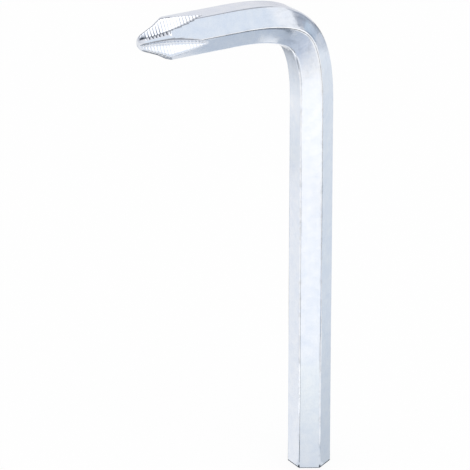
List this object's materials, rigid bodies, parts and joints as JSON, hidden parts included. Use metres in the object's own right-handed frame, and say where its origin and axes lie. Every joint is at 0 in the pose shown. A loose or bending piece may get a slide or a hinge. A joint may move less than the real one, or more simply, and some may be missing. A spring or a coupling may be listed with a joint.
{
  "type": "offset screwdriver",
  "caption": "Offset screwdriver: a hexagon steel bar bent square, with a ribbed cross tip on the short arm and a plain hexagon end on the long arm.",
  "frame": {"origin": "centre of the long arm's square-cut end face", "axes": "+Z along the long arm towards the bend, -X along the short arm towards the tip, Y square to the plane of the arms"},
  "size_m": [0.0455, 0.0092, 0.1073],
  "materials": {
    "satin_chrome_steel": "satin chrome plating on steel"
  },
  "bodies": {
    "root": {"driver_bar": "satin_chrome_steel"}
  },
  "joints": []
}
